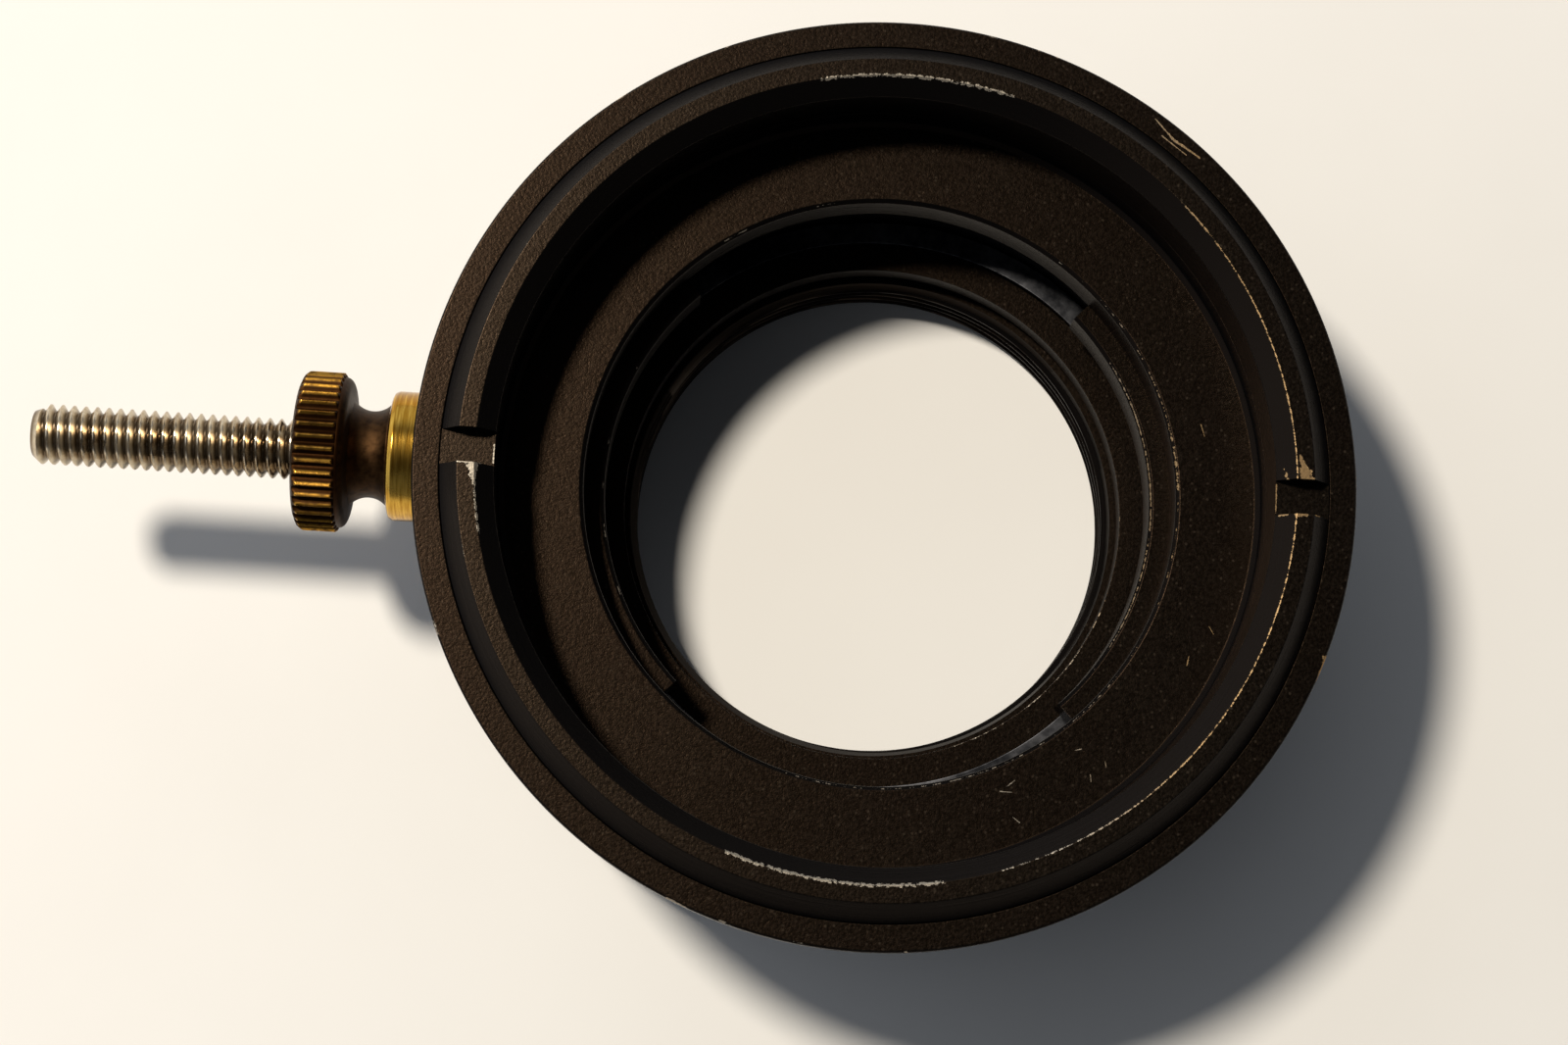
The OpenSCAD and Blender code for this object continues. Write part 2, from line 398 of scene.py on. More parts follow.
def wear(tree, place, ragged, edges, scrapes):
    """The mask of bare metal: the rubbed edges and the scrapes together."""
    patchy = noise(tree, place, patchy_scale, 4.0, 0.75)
    marks = [add(tree, "ShaderNodeGroup", {
        "Place": place, "Ragged": ragged, "Patchy": patchy, "Radius": at_r * mm,
        "Height": at_z * mm, "Width": width * mm, "Middle": math.radians(middle),
        "Spread": math.radians(spread), "Cover": cover}, node_tree=rubbed_edge).outputs[0]
        for at_r, at_z, width, middle, spread, cover in edges]
    marks += [add(tree, "ShaderNodeGroup", {
        "Place": place, "Ragged": ragged, "Start": start, "End": end,
        "First width": first * mm, "Last width": last * mm}, node_tree=scrape).outputs[0]
        for start, end, first, last in scrapes]
    worn = marks[0]
    for mark in marks[1:]:
        worn = calc(tree, "MAXIMUM", worn, mark)
    return worn


def black_finish(name, edges, scrapes=(), level=0.22, tint=(1.0, 0.62, 0.38)):
    """Black anodised aluminium. Edges are (radius, height, width, middle angle, half
    spread, cover); scrapes are (start, end, first width, last width)."""
    material = bpy.data.materials.new(name)
    material.use_nodes = True
    tree = material.node_tree
    tree.nodes.clear()
    coordinates = add(tree, "ShaderNodeTexCoord").outputs
    place, facing = coordinates["Object"], coordinates["Normal"]
    radius, angle, height = polar(tree, place)
    ragged = noise(tree, place, ragged_scale, 3.0, 0.7)
    worn = wear(tree, place, ragged, edges, scrapes)

    up = add(tree, "ShaderNodeSeparateXYZ", {0: facing}).outputs[2]
    blasted = step_between(tree, up, 0.86, 0.98)
    beads = noise(tree, place, bead_scale, 3.0, 0.7)
    cloud = noise(tree, place, cloud_scale, 3.0, 0.6)
    tone = calc(tree, "ADD", calc(tree, "MULTIPLY", beads, 0.8),
                calc(tree, "MULTIPLY", cloud, 0.2))
    brown = add(tree, "ShaderNodeValToRGB", {0: tone})
    brown.color_ramp.elements[0].position = 0.42
    brown.color_ramp.elements[0].color = (*blasted_dark, 1)
    brown.color_ramp.elements[1].position = 0.64
    brown.color_ramp.elements[1].color = (*blasted_light, 1)
    black = mix(tree, blasted, mix(tree, cloud, turned_dark, turned_light), brown.outputs[0])

    chosen, away = cells(tree, place, glint_scale, 0)
    glint = calc(tree, "MULTIPLY", step_between(tree, chosen, 0.80, 1.0),
                 step_between(tree, away, 0.14, 0.50, 1.0, 0.0))
    glint = calc(tree, "MULTIPLY", glint, blasted)
    black = mix(tree, calc(tree, "MULTIPLY", glint, 0.4), black, glint_colour)
    chosen, away = cells(tree, place, dust_scale, 1)
    speck = calc(tree, "MULTIPLY", step_between(tree, chosen, 0.978, 0.982),
                 step_between(tree, away, 0.014, 0.028, 1.0, 0.0))
    black = mix(tree, calc(tree, "MULTIPLY", speck, 0.8), black, dust_colour)

    # Painted warm shade on the bare metal towards +X.
    warm_shaded_side = step_between(tree, add(tree, "ShaderNodeSeparateXYZ", {0: place}).outputs[0],
                           warm_shade_from_x * mm, warm_shade_full_x * mm)
    metal = mix(tree, warm_shaded_side, mix(tree, ragged, bare_dark, bare_light), bare_warm_shade)
    colour = mix(tree, worn, black, metal)

    turned_lines = add(tree, "ShaderNodeCombineXYZ", {
        0: calc(tree, "MULTIPLY", radius, tool_line_scale),
        1: calc(tree, "MULTIPLY", height, tool_line_scale),
        2: calc(tree, "MULTIPLY", angle, 2.0)}).outputs[0]
    rings = noise(tree, turned_lines, 1.0, 2.0, 0.6)
    relief = mix_value(tree, blasted, calc(tree, "MULTIPLY", rings, 0.35), beads)
    relief = calc(tree, "SUBTRACT", relief, calc(tree, "MULTIPLY", worn, 0.8))
    bump = add(tree, "ShaderNodeBump", {"Strength": 0.6, "Distance": bead_relief,
                                        "Height": relief}).outputs[0]
    matte = step_between(tree, beads, 0.3, 0.7, 0.29, 0.39)
    satin = step_between(tree, rings, 0.3, 0.7, 0.27, 0.36)
    rough = mix_value(tree, worn, mix_value(tree, blasted, satin, matte), bare_rough)
    surface = add(tree, "ShaderNodeBsdfPrincipled", {
        "Base Color": colour, "Roughness": rough, "Metallic": calc(tree, "MULTIPLY", worn, 0.75),
        "Specular IOR Level": step_between(tree, blasted, 0.0, 1.0, 0.5 * level, level),
        "Specular Tint": (*tint, 1), "Normal": bump})
    add(tree, "ShaderNodeOutputMaterial", {0: surface.outputs[0]})
    return material


flange_nicks = [
    (at(-19.5, 31.95, 20.45), at(-22.6, 31.98, 20.40), 0.22, 0.10),
    (at(127.0, 31.95, 20.45), at(128.6, 31.98, 20.45), 0.16, 0.08),
    (at(246.0, 31.98, 20.50), at(248.5, 31.98, 20.50), 0.10, 0.04),
    (at(3.2, 31.99, 20.35), at(-0.8, 31.99, 20.30), 0.15, 0.10),
    (at(49.0, 31.30, 20.6), at(53.0, 31.05, 20.6), 0.05, 0.09),
    (at(53.0, 31.05, 20.6), at(56.5, 31.45, 20.6), 0.09, 0.03),
    (at(50.5, 30.80, 20.6), at(54.5, 30.75, 20.6), 0.03, 0.05)]
ledge_scratches = []
hand = random.Random(14)
for _ in range(9):
    from_angle, from_r = hand.uniform(-75, 15), hand.uniform(21.3, 25.6)
    ledge_scratches.append((
        at(from_angle, from_r, ledge_z),
        at(from_angle + hand.uniform(-2.2, 2.2), from_r + hand.uniform(-0.6, 0.6), ledge_z),
        0.020, 0.035))
body_black = black_finish("black anodised body", edges=[
    (throat_r + 0.12, ledge_z - 0.06, 0.045, -25, 125, 0.52),
    (throat_r + 0.12, ledge_z - 0.06, 0.085, 10, 9, 0.80),
    (throat_r + 0.12, ledge_z - 0.06, 0.045, 112, 48, 0.42),
    (flange_r - 0.05, flange_z - 0.05, 0.07, 160, 180, 0.30)],
    scrapes=flange_nicks + ledge_scratches)

body_section = [
    (barrel_r - 0.6, 0), (barrel_r, 0.6), (barrel_r, barrel_h), (body_r - 0.6, barrel_h),
    (body_r, barrel_h + 0.6), (body_r, flange_under_z), (flange_r - 0.25, flange_under_z),
    (flange_r, flange_under_z + 0.25), (flange_r, flange_z - 0.12), (flange_r - 0.12, flange_z),
    (rim_seat_r, flange_z), (rim_seat_r, seat_z), (skirt_r, seat_z), (skirt_r, skirt_z),
    (register_r, skirt_z), (register_r, ledge_z + 0.36), (register_r - 0.36, ledge_z),
    (throat_r + 0.25, ledge_z), (throat_r, ledge_z - 0.25), (throat_r, web_z),
    (rear_bore_r, web_z), (rear_bore_r, 0.4), (rear_bore_r + 0.4, 0)]
body = lathe("adapter_body", rounded(body_section), body_black)
stud_outside = (-outside, stud_y, stud_z)
cut(body, rod(spot_face_r, (-spot_face_x, stud_y, stud_z), stud_outside))
cut(body, rod(stud_hole_r, (-stud_hole_x, stud_y, stud_z), stud_outside, 48))
for turn in lock_screw_angles:
    cut(body, rod(lock_hole_r, at(turn, lock_hole_from, lock_screw_z) / mm,
                  at(turn, outside, lock_screw_z) / mm, 32))
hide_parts("main_body")
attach(body, "adapter")


# Slotted front ring: a turned rim, bevelled on both sides, that screws into the
# front of the body. Two slots across it take a pin spanner, and years of the
# spanner and of lenses going in have chipped the black off round them.
rim_top_z = 22.0
rim_foot_r = rim_seat_r - seam
rim_outer_r = 28.85
rim_inner_r = 27.65
slot_half = 1.2

wear_r = register_r + 0.03
slot_scrapes = [
    ((-27.75, -1.25, rim_top_z), (-27.62, -2.7, rim_top_z), 0.50, 0.05),
    ((-28.9, -1.22, rim_top_z), (-27.2, -1.22, 21.9), 0.06, 0.13),
    ((-wear_r, -0.9, 20.62), (-wear_r, 0.3, 20.62), 0.06, 0.08),
    ((28.25, 1.25, rim_top_z), (27.76, 2.8, rim_top_z), 0.50, 0.05),
    ((27.1, 1.25, 21.4), (26.75, 2.6, 21.1), 0.15, 0.04),
    ((27.55, -1.25, 21.95), (28.3, -1.25, rim_top_z), 0.18, 0.13),
    ((26.7, -1.22, 21.1), (27.1, -1.22, 21.5), 0.13, 0.08),
    ((28.9, -1.22, 21.9), (29.6, -1.22, 21.2), 0.06, 0.03),
    ((wear_r, -1.0, 20.62), (wear_r, 1.0, 20.62), 0.04, 0.06)]
rim_black = black_finish("black anodised rim", level=0.25, tint=(1.0, 0.66, 0.42), edges=[
    (rim_inner_r, rim_top_z, 0.115, 88, 19, 0.80),
    (rim_inner_r, rim_top_z, 0.125, 265, 19, 0.84),
    (rim_inner_r, rim_top_z, 0.050, -12, 80, 0.78),
    (rim_inner_r, rim_top_z, 0.075, 186, 9, 0.84),
    (rim_outer_r, rim_top_z, 0.030, 176, 42, 0.40)],
    scrapes=[(Vector(start) * mm, Vector(end) * mm, first, last)
             for start, end, first, last in slot_scrapes])

rim_section = [
    (register_r, skirt_z + 0.1), (skirt_r - seam, skirt_z + 0.1), (skirt_r - seam, seat_z),
    (rim_foot_r, seat_z), (rim_foot_r, flange_z), (rim_outer_r, rim_top_z),
    (rim_inner_r, rim_top_z), (register_r, flange_z + 0.3)]
rim = lathe("slotted_front_ring", rounded(rim_section, 0.05), rim_black)
for turn in (0, 180):
    cut(rim, block((20, -slot_half, flange_z), (35, slot_half, 30), turn))
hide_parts("slotted_ring")
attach(rim, "adapter")


# Bayonet ring: two broad lugs, milled out of one black ring behind the throat.
# A lens's claws pass through the gaps between them and turn in behind them.
lug_r = 19.2
lug_z = 9.3
gap_half = 44
gap_steps = 24
recess_r = 21.6
inner_ring_r = rear_bore_r - seam

lug_black = black_finish("black anodised lugs", edges=[
    (lug_r + 0.12, web_z - 0.12, 0.045, 0, 47, 0.62),
    (lug_r + 0.12, web_z - 0.12, 0.035, 180, 47, 0.40)],
    scrapes=[(at(46, 19.4, 12.0), at(46, 21.2, 12.15), 0.06, 0.10),
             (at(-46, 19.5, 12.1), at(-46, 21.0, 12.15), 0.08, 0.05)], level=0.18)
lug_section = [(lug_r, lug_z), (inner_ring_r, lug_z), (inner_ring_r, web_z), (lug_r + 0.25, web_z),
               (lug_r, web_z - 0.25)]
lugs = lathe("bayonet_ring", rounded(lug_section, 0.05), lug_black)
for middle in (90, 270):
    wedge = [(0, 0)] + [
        (recess_r * math.cos(math.radians(middle + turn)),
         recess_r * math.sin(math.radians(middle + turn)))
        for turn in [gap_half * k / gap_steps for k in range(-gap_steps, gap_steps + 1)]]
    shell = bmesh.new()
    floor_face = shell.faces.new([shell.verts.new((x * mm, y * mm, 5 * mm)) for x, y in wedge])
    raised = bmesh.ops.extrude_face_region(shell, geom=[floor_face])["geom"]
    bmesh.ops.translate(shell, vec=(0, 0, 10 * mm),
                        verts=[v for v in raised if isinstance(v, bmesh.types.BMVert)])
    bmesh.ops.recalc_face_normals(shell, faces=shell.faces)
    gap = bpy.data.meshes.new("gap")
    shell.to_mesh(gap)
    shell.free()
    cut(lugs, gap)
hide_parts("lug_ring")
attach(lugs, "adapter")


# Dowel pins: two ground steel pins, pressed through the bayonet ring into the
# body so that the ring can't turn. Each is chamfered at both ends.
dowel_r = 0.75
dowel_from_z = 10.0
dowel_to_z = 14.0
dowel_circle_r = 23.0


def metal_finish(name, dark, light, rough, scale, stretch=(1, 1, 1), relief=0.2,
                 centre=(0, 0, 0)):
    """A metal with a two-tone surface and fine relief, stretched along its tool marks."""
    material = bpy.data.materials.new(name)
    material.use_nodes = True
    tree = material.node_tree
    tree.nodes.clear()
    place = add(tree, "ShaderNodeTexCoord").outputs["Object"]
    centred = add(tree, "ShaderNodeMapping", {
        "Vector": place, "Location": [-c * mm for c in centre]}).outputs[0]
    drawn = add(tree, "ShaderNodeMapping", {"Vector": place, "Scale": stretch}).outputs[0]
    grain = noise(tree, drawn, scale, 3.0, 0.6)
    cloud = noise(tree, place, scale * 0.12, 3.0, 0.6)
    tone = calc(tree, "ADD", calc(tree, "MULTIPLY", grain, 0.5),
                calc(tree, "MULTIPLY", cloud, 0.5))
    colour = mix(tree, step_between(tree, tone, 0.35, 0.65), dark, light)
    bump = add(tree, "ShaderNodeBump", {"Strength": relief, "Distance": 0.00002,
                                        "Height": grain}).outputs[0]
    surface = add(tree, "ShaderNodeBsdfPrincipled", {
        "Base Color": colour, "Metallic": 1.0, "Normal": bump,
        "Roughness": step_between(tree, cloud, 0.3, 0.7, rough - 0.06, rough + 0.08)})
    add(tree, "ShaderNodeOutputMaterial", {0: surface.outputs[0]})
    return material, tree, surface, centred


def make_placing():
    """Copies one part round a circle at even steps, turned to face outwards."""
    tree, given = new_tree("placing", ["Count", "Circle radius", "Height", "First angle"])
    points = add(tree, "GeometryNodePoints", {0: given["Count"]}).outputs[0]
    index = add(tree, "GeometryNodeInputIndex").outputs[0]
    angle = calc(tree, "ADD", given["First angle"], calc(
        tree, "DIVIDE", calc(tree, "MULTIPLY", index, math.tau), given["Count"]))
    spot = from_polar(tree, given["Circle radius"], angle, given["Height"])
    spread = add(tree, "GeometryNodeSetPosition", {"Geometry": points, "Position": spot}).outputs[0]
    turned = add(tree, "ShaderNodeCombineXYZ", {2: angle}).outputs[0]
    copies = add(tree, "GeometryNodeInstanceOnPoints", {
        "Points": spread, "Instance": given["Geometry"], "Rotation": turned}).outputs[0]
    return end_tree(tree, given, copies)


placing = make_placing()
pin_steel = metal_finish("ground steel", (0.42, 0.42, 0.43), (0.62, 0.61, 0.60), 0.28, 2200)[0]
pin_shape = lathe("pin", rounded([
    (0, dowel_from_z), (dowel_r - 0.12, dowel_from_z), (dowel_r, dowel_from_z + 0.12),
    (dowel_r, dowel_to_z - 0.12), (dowel_r - 0.12, dowel_to_z), (0, dowel_to_z)], 0.03),
    pin_steel, 32)
pins = grow("dowel_pins", pin_shape.data, pin_steel, [(placing, {
    "Count": 2, "Circle radius": dowel_circle_r * mm, "Height": 0, "First angle": math.pi / 2})])
bpy.data.objects.remove(pin_shape)
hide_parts("lug_dowels")
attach(pins, "adapter")


# Wave washer: a ring of blackened spring steel, pressed into four waves. It
# lies loose on the retaining ring and pushes a lens's claws up to the lugs.
washer_inner_r = 19.9
washer_outer_r = 21.45
washer_z = 6.72
washer_t = 0.25


def make_waving():
    """Lifts a flat ring into even waves."""
    tree, given = new_tree("waving", ["Waves", "Rise"])
    place = add(tree, "GeometryNodeInputPosition").outputs[0]
    radius, angle, height = polar(tree, place)
    swing = calc(tree, "COSINE", calc(tree, "MULTIPLY", angle, given["Waves"]))
    lift = calc(tree, "MULTIPLY", given["Rise"], calc(
        tree, "MULTIPLY", calc(tree, "SUBTRACT", 1.0, swing), 0.5))
    raised = add(tree, "GeometryNodeSetPosition", {
        "Geometry": given["Geometry"],
        "Offset": add(tree, "ShaderNodeCombineXYZ", {2: lift}).outputs[0]}).outputs[0]
    return end_tree(tree, given, raised)


washer_steel = metal_finish("blackened spring steel", (0.045, 0.046, 0.052),
                            (0.16, 0.16, 0.17), 0.34, 1500)[0]
washer = lathe("wave_washer", rounded([
    (washer_inner_r, washer_z), (washer_outer_r, washer_z),
    (washer_outer_r, washer_z + washer_t), (washer_inner_r, washer_z + washer_t)], 0.05),
    washer_steel, more=[(make_waving(), {"Waves": 4, "Rise": 0.7 * mm})])
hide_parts("wave_spring")
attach(washer, "adapter")


# Retaining ring: screwed in from the back, it clamps the bayonet ring against
# the web and its floor carries the wave washer. Two slots take a spanner.
floor_z = 6.7
floor_r = 17.9
insert_top = 5.0

plain_black = black_finish("black anodised rear ring", edges=[
    (floor_r, floor_z, 0.05, -30, 60, 0.5)], level=0.20)
retainer = lathe("retaining_ring", rounded([
    (floor_r, insert_top), (inner_ring_r, insert_top), (inner_ring_r, lug_z), (recess_r, lug_z),
    (recess_r, floor_z), (floor_r, floor_z)], 0.05), plain_black)
for turn in (90, 270):
    cut(retainer, block((19, -slot_half, insert_top - 1), (21.5, slot_half, insert_top + 0.8),
                        turn))
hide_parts("rear_ring")
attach(retainer, "adapter")


# Threaded insert: the rear ring with the fine internal thread that a lens tube
# screws into. It is cut with a single-point tool and anodised with the rest.
thread_r = 17.0
thread_pitch = 1.0
thread_depth = 0.42
thread_top = 4.0
thread_rows = 44
mouth_r = 19.0
lock_groove_r = 23.7


def make_threading(inside):
    """Cuts a right-handed thread round Z, into a bore or into a rod."""
    tree, given = new_tree("threading inside" if inside else "threading outside",
                           ["Pitch", "Depth", "Crest radius", "Reach"])
    place = add(tree, "GeometryNodeInputPosition").outputs[0]
    radius, angle, height = polar(tree, place)
    turns = calc(tree, "SUBTRACT", calc(tree, "DIVIDE", height, given["Pitch"]),
                 calc(tree, "DIVIDE", angle, math.tau))
    share = calc(tree, "ABSOLUTE", calc(tree, "SUBTRACT", calc(
        tree, "MULTIPLY", calc(tree, "FLOORED_MODULO", turns, 1.0), 2.0), 1.0))
    groove = add(tree, "ShaderNodeMapRange", {0: share, 1: 0.13, 2: 0.88}).outputs[0]
    depth = calc(tree, "MULTIPLY", groove, given["Depth"])
    if inside:
        cut_r = calc(tree, "MAXIMUM", radius, calc(tree, "ADD", given["Crest radius"], depth))
        chosen = calc(tree, "LESS_THAN", radius, given["Reach"])
    else:
        cut_r = calc(tree, "MINIMUM", radius, calc(tree, "SUBTRACT", given["Crest radius"], depth))
        chosen = calc(tree, "GREATER_THAN", radius, given["Reach"])
    made = add(tree, "GeometryNodeSetPosition", {
        "Geometry": given["Geometry"], "Selection": chosen,
        "Position": from_polar(tree, cut_r, angle, height)}).outputs[0]
    return end_tree(tree, given, made)


def divided(section, start, end, count):
    """Puts count even points between two neighbours of a closed section."""
    made = []
    for i, here in enumerate(section):
        after = section[(i + 1) % len(section)]
        made.append(Vector(here))
        if (tuple(here), tuple(after)) == (tuple(start), tuple(end)):
            made += [Vector(here).lerp(Vector(after), (k + 1) / (count + 1)) for k in range(count)]
    return made


insert_black = black_finish("black anodised insert", edges=[
    (thread_r + 0.05, thread_top, 0.05, -20, 50, 0.4)], level=0.20)
insert_section = [
    (inner_ring_r, 0), (inner_ring_r, 1.3), (lock_groove_r, 2.0), (lock_groove_r, 2.8),
    (inner_ring_r, 3.5), (inner_ring_r, insert_top), (mouth_r, insert_top), (mouth_r, 4.5),
    (thread_r + 0.5, 4.5), (thread_r, thread_top), (thread_r, 0)]
insert = lathe("threaded_insert",
               divided(insert_section, (thread_r, thread_top), (thread_r, 0), thread_rows),
               insert_black, more=[(make_threading(True), {
                   "Pitch": thread_pitch * mm, "Depth": thread_depth * mm,
                   "Crest radius": thread_r * mm, "Reach": (thread_r + 0.45) * mm})])
for turn in (0, 180):
    cut(insert, block((19.5, -slot_half, -1), (23, slot_half, 1.2), turn))
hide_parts("thread_insert")
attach(insert, "adapter")


# Lock screws: three black grub screws with cone points and hexagon sockets,
# driven in from the side to hold the threaded insert.
screw_r = 1.25
screw_from = 23.85
screw_to = 27.4
screw_pitch = 0.45

screw_steel = metal_finish("black oxide steel", (0.04, 0.04, 0.045), (0.13, 0.13, 0.14), 0.36,
                           2600)[0]
screw_section = divided([
    (0, 0), (0.35, 0), (screw_r, 0.9), (screw_r, screw_to - screw_from - 0.15),
    (screw_r - 0.15, screw_to - screw_from), (0, screw_to - screw_from)],
    (screw_r, 0.9), (screw_r, screw_to - screw_from - 0.15), 40)
thread_outside = make_threading(False)
screw_shape = lathe("screw", screw_section, screw_steel, 40, more=[(thread_outside, {
    "Pitch": screw_pitch * mm, "Depth": 0.2 * mm, "Crest radius": screw_r * mm,
    "Reach": 0.5 * mm})])
cut(screw_shape, rod(0.75, (0, 0, screw_to - screw_from - 1.2), (0, 0, 6), 6))
screw_shape.data.transform(Matrix.Rotation(math.radians(90), 4, "Y"))
screws = grow("lock_screws", screw_shape.data, screw_steel, [(placing, {
    "Count": 3, "Circle radius": screw_from * mm, "Height": lock_screw_z * mm,
    "First angle": math.radians(lock_screw_angles[0])})])
bpy.data.objects.remove(screw_shape)
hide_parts("insert_grub_screws")
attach(screws, "adapter")


# Side stud: a length of zinc-plated steel screw, fixed in a blind hole in the
# body. It carries the collar and the nut. Its thread roots are painted dark brown: painted shade,
# tinted as a painted reflection of the brass.
stud_r = 2.085
stud_root = 26.85
stud_end = 58.6
stud_pitch = 0.79375
stud_rows = 388
# Painted shade in the thread roots, tinted brown as a painted reflection of the brass.
root_shade_colour = (0.085, 0.050, 0.021)
along_stud = Matrix.Translation((-stud_root * mm, stud_y * mm, stud_z * mm)) @ Matrix.Rotation(
    math.radians(-90), 4, "Y")


def from_stud_axis(tree, centred):
    """Distance from the stud's axis."""
    parts = add(tree, "ShaderNodeSeparateXYZ", {0: centred}).outputs
    return calc(tree, "SQRT", calc(tree, "ADD", calc(tree, "MULTIPLY", parts[1], parts[1]),
                                   calc(tree, "MULTIPLY", parts[2], parts[2])))


# The plating's brown tint is partly a painted reflection of the brass parts.
zinc, zinc_tree, zinc_surface, zinc_place = metal_finish(
    "zinc-plated steel", (0.36, 0.27, 0.17), (0.66, 0.57, 0.43), 0.27, 1800,
    centre=(0, stud_y, stud_z))
# Painted shade: the thread roots are darkened towards the root colour.
in_thread = step_between(zinc_tree, from_stud_axis(zinc_tree, zinc_place), 1.62 * mm, 1.95 * mm,
                         1.0, 0.0)
shaded_roots = mix(zinc_tree, calc(zinc_tree, "MULTIPLY", in_thread, 0.85),
           zinc_surface.inputs["Base Color"].links[0].from_socket, root_shade_colour)
zinc_tree.links.new(shaded_roots, zinc_surface.inputs["Base Color"])

stud_length = stud_end - stud_root
stud_section = divided([
    (0, 0), (stud_r - 0.4, 0), (stud_r, 0.4), (stud_r, stud_length - 0.5),
    (stud_r - 0.5, stud_length), (0, stud_length)],
    (stud_r, 0.4), (stud_r, stud_length - 0.5), stud_rows)
stud = lathe("side_stud", stud_section, zinc, 64, more=[(thread_outside, {
    "Pitch": stud_pitch * mm, "Depth": 0.45 * mm, "Crest radius": stud_r * mm,
    "Reach": 1.0 * mm})])
stud.data.transform(along_stud)
smooth(stud, zinc, 40)
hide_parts("threaded_stud")
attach(stud, "adapter")


# Spacer collar: a plain brass washer, turned bright, between the body's spot
# face and the nut. Its outer corner is rounded and its rim shows the tool's lines.
collar_x = 30.95
collar_l = 3.05
collar_r = 4.5
collar_bore_r = stud_r + 0.09

bright_brass = metal_finish(
    "bright brass", (0.36, 0.170, 0.014), (0.82, 0.50, 0.090), 0.22, 900,
    stretch=(7, 0.5, 0.5), relief=0.5)[0]
collar = lathe("spacer_collar", rounded([
    (collar_bore_r, 0), (collar_r - 0.15, 0), (collar_r, 0.15), (collar_r, collar_l - 0.4),
    (collar_r - 0.12, collar_l - 0.12), (collar_r - 0.4, collar_l), (collar_bore_r, collar_l)],
    0.05), bright_brass, 160)
collar.data.transform(Matrix.Translation(((stud_root - collar_x) * mm, 0, 0)) @ along_stud)
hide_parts("brass_collar")
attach(collar, "collar")


# Thumb nut: brass, turned with a hollow neck and a rounded shoulder, then
# straight knurled. It is brown with age, and fingers have rubbed the ridges gold.
nut_x = 34.05
nut_l = 6.3
nut_r = 5.53
neck_r = 3.0
hollow_r = 1.7
hollow_at = 1.35
shoulder_r = 5.22
shoulder_at = 3.3
shoulder_reach = 0.8
shoulder_drop = 0.55
nut_bore_r = 2.16
ridges = 40
knurl_depth = 0.38
groove_power = 0.85
rubbed_gold = (0.40, 0.205, 0.030)
groove_dark = (0.030, 0.011, 0.003)


def make_knurling():
    """Presses straight grooves into a rim, all the way round."""
    tree, given = new_tree("knurling", ["Ridges", "Depth", "Crest radius", "Reach"])
    place = add(tree, "GeometryNodeInputPosition").outputs[0]
    radius, angle, height = polar(tree, place)
    swing = calc(tree, "COSINE", calc(tree, "MULTIPLY", angle, given["Ridges"]))
    groove = calc(tree, "POWER", calc(
        tree, "MULTIPLY", calc(tree, "SUBTRACT", 1.0, swing), 0.5), groove_power)
    cut_r = calc(tree, "MINIMUM", radius, calc(tree, "SUBTRACT", given["Crest radius"], calc(
        tree, "MULTIPLY", groove, given["Depth"])))
    made = add(tree, "GeometryNodeSetPosition", {
        "Geometry": given["Geometry"],
        "Selection": calc(tree, "GREATER_THAN", radius, given["Reach"]),
        "Position": from_polar(tree, cut_r, angle, height)}).outputs[0]
    return end_tree(tree, given, made)


def aged_brass():
    """Brown brass, gold on the ridges and dark in the grooves."""
    material, tree, surface, centred = metal_finish(
        "aged brass", (0.019, 0.009, 0.004), (0.060, 0.030, 0.012), 0.52, 2400,
        relief=0.8, centre=(0, stud_y, stud_z))
    away = from_stud_axis(tree, centred)
    patches = noise(tree, centred, 1300.0, 3.0, 0.7)
    rubbed = calc(tree, "MULTIPLY", step_between(tree, away, 5.34 * mm, 5.50 * mm),
                  step_between(tree, patches, 0.34, 0.58, 0.25, 1.0))
    base = surface.inputs["Base Color"].links[0].from_socket
    # The grooves between the ridges are coloured darker.
    in_groove = calc(tree, "MULTIPLY", step_between(tree, away, 5.12 * mm, 5.15 * mm),
                     step_between(tree, away, 5.28 * mm, 5.44 * mm, 1.0, 0.0))
    grooves_darkened = mix(tree, calc(tree, "MULTIPLY", in_groove, 0.85), base, groove_dark)
    gold = mix(tree, rubbed, grooves_darkened, rubbed_gold)
    tree.links.new(gold, surface.inputs["Base Color"])
    tree.links.new(calc(tree, "SUBTRACT", surface.inputs["Roughness"].links[0].from_socket,
                        calc(tree, "MULTIPLY", rubbed, 0.24)), surface.inputs["Roughness"])
    return material


neck = []
for degrees in range(-48, 49, 6):
    turn = math.radians(degrees)
    neck.append((neck_r + hollow_r * (1 - math.cos(turn)),
                 hollow_at + hollow_r * math.sin(turn)))
shoulder = []
for k in range(13):
    turn = math.radians(90 - 7.5 * k)
    shoulder.append((shoulder_r - shoulder_reach * (1 - math.cos(turn)),
                     shoulder_at - shoulder_drop * math.sin(turn)))
nut_section = rounded([
    (nut_bore_r + 0.3, 0), (neck_r + 0.6, 0), *neck, *shoulder, (nut_r, 3.48),
    (nut_r, nut_l - 0.5), (nut_r - 0.25, nut_l - 0.2), (nut_r - 0.71, nut_l),
    (nut_bore_r + 0.3, nut_l), (nut_bore_r, nut_l - 0.3), (nut_bore_r, 0.3)], 0.05)
old_brass = aged_brass()
nut = lathe("thumb_nut", nut_section, old_brass, ridges * 10, more=[(make_knurling(), {
    "Ridges": ridges, "Depth": knurl_depth * mm, "Crest radius": nut_r * mm,
    "Reach": (shoulder_r + 0.005) * mm})])
nut.data.transform(Matrix.Translation(((stud_root - nut_x) * mm, 0, 0)) @ along_stud)
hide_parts("knurled_nut")
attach(nut, "nut")


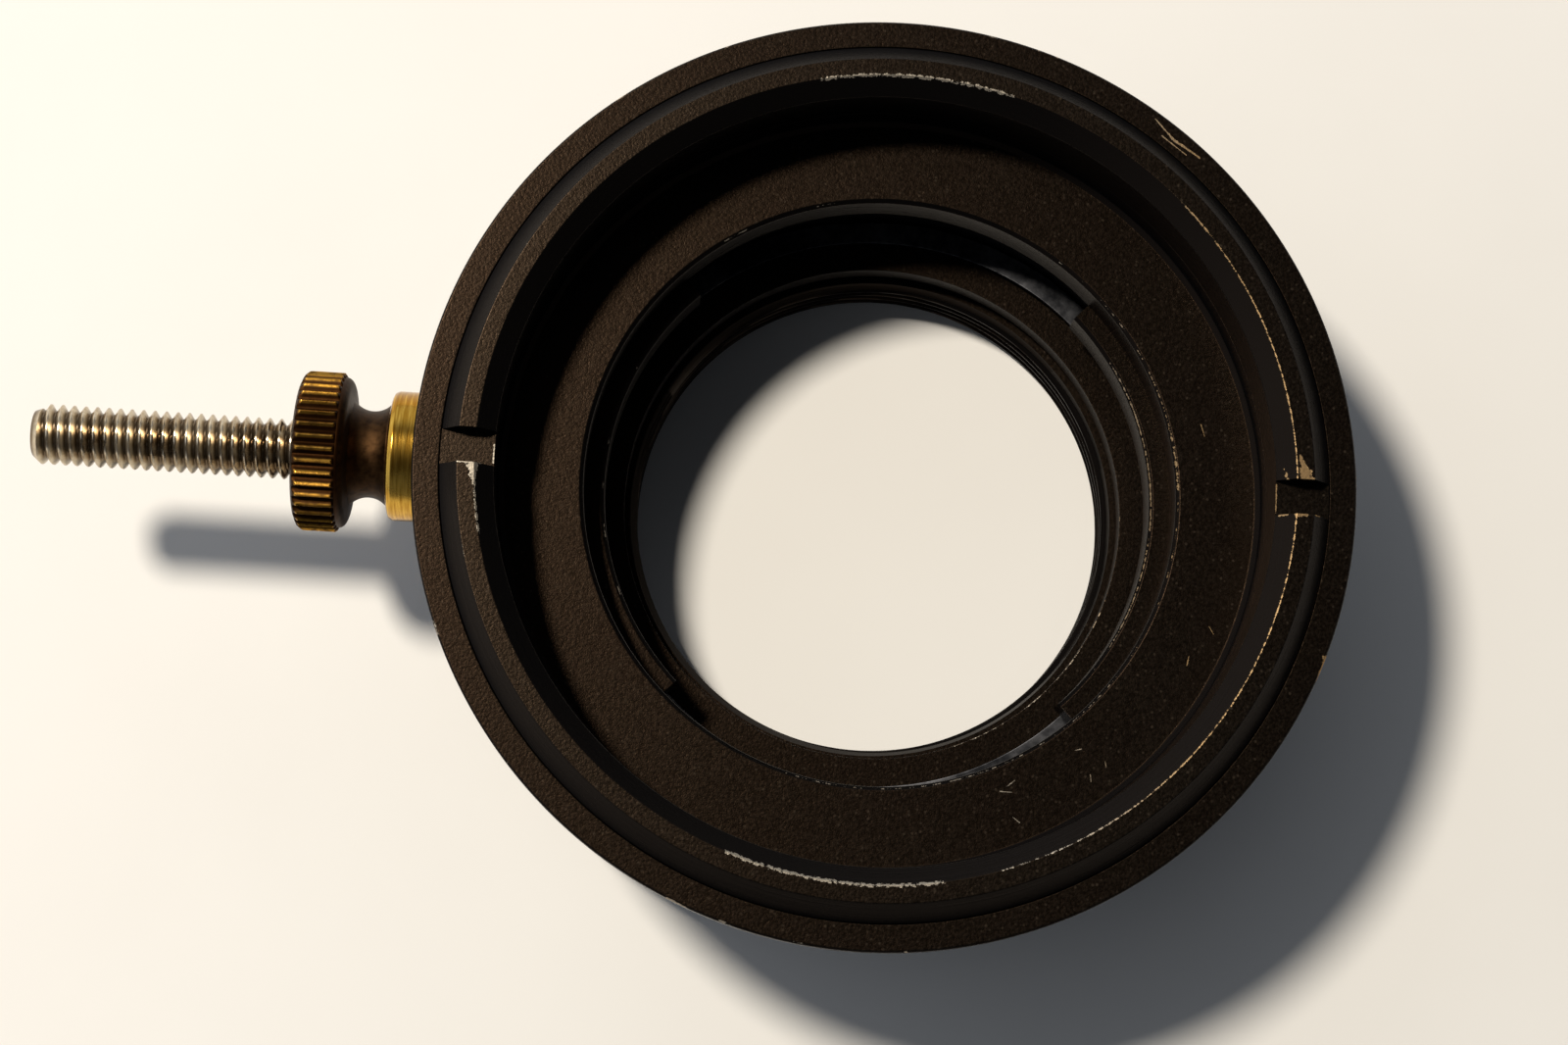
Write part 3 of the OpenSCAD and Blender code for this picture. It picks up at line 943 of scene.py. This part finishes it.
# Studio: a plain pale table, one soft lamp high on the left, the pale room as
# fill, and a long-lens camera that looks down on the front of the adapter.
lamp_way = Vector((-0.452, 0.280, 0.847))
lamp_distance = 0.85
lamp_size = 0.13
lamp_power = 8.0
lamp_colour = (1.0, 0.93, 0.82)
room_colour = (0.70, 0.76, 0.86)
paper_dark = (0.80, 0.775, 0.735)
paper_light = (0.86, 0.84, 0.80)
table_half = 3.0
camera_place = Vector((-12.35, -38.71, 215.05)) * mm
camera_turn = (math.radians(10.08), math.radians(-2.23), math.radians(3.22))
camera_lens = 67.5

table_mesh = bpy.data.meshes.new("table")
table_mesh.from_pydata([(-table_half, -table_half, 0), (table_half, -table_half, 0),
                        (table_half, table_half, 0), (-table_half, table_half, 0)],
                       [], [(0, 1, 2, 3)])
table = bpy.data.objects.new("table", table_mesh)
bpy.context.scene.collection.objects.link(table)
paper = bpy.data.materials.new("pale paper")
paper.use_nodes = True
paper_tree = paper.node_tree
paper_tree.nodes.clear()
paper_place = add(paper_tree, "ShaderNodeTexCoord").outputs["Object"]
paper_tone = mix(paper_tree, noise(paper_tree, paper_place, 28.0, 4.0, 0.6),
                 paper_dark, paper_light)
paper_surface = add(paper_tree, "ShaderNodeBsdfPrincipled", {
    "Base Color": paper_tone, "Roughness": 0.75})
add(paper_tree, "ShaderNodeOutputMaterial", {0: paper_surface.outputs[0]})
table_mesh.materials.append(paper)

room = bpy.data.worlds.new("room")
room.use_nodes = True
room_tree = room.node_tree
toward = add(room_tree, "ShaderNodeSeparateXYZ", {
    0: add(room_tree, "ShaderNodeTexCoord").outputs["Generated"]}).outputs
window_side = calc(room_tree, "ADD", calc(room_tree, "MULTIPLY", toward[0], -0.85),
                   calc(room_tree, "MULTIPLY", toward[1], 0.53))
window = step_between(room_tree, window_side, -0.3, 0.9, 0.13, 1.35)
ceiling = step_between(room_tree, toward[2], 0.45, 0.88, 1.0, 0.06)
background = room_tree.nodes["Background"]
background.inputs["Color"].default_value = (*room_colour, 1)
room_tree.links.new(calc(room_tree, "MULTIPLY", window, ceiling), background.inputs["Strength"])
bpy.context.scene.world = room

lamp_data = bpy.data.lights.new("lamp", "AREA")
lamp_data.shape = "DISK"
lamp_data.size = lamp_size
lamp_data.energy = lamp_power
lamp_data.color = lamp_colour
lamp = bpy.data.objects.new("lamp", lamp_data)
lamp.location = lamp_way.normalized() * lamp_distance
lamp.rotation_euler = lamp_way.to_track_quat("Z", "Y").to_euler()
bpy.context.scene.collection.objects.link(lamp)

bpy.context.scene.view_settings.view_transform = "Standard"

camera_data = bpy.data.cameras.new("camera")
camera_data.lens = camera_lens
camera_data.sensor_width = 36.0
camera_data.clip_start = 0.01
camera_data.clip_end = 20.0
camera = bpy.data.objects.new("camera", camera_data)
camera.location = camera_place
camera.rotation_euler = camera_turn
bpy.context.scene.collection.objects.link(camera)
bpy.context.scene.camera = camera
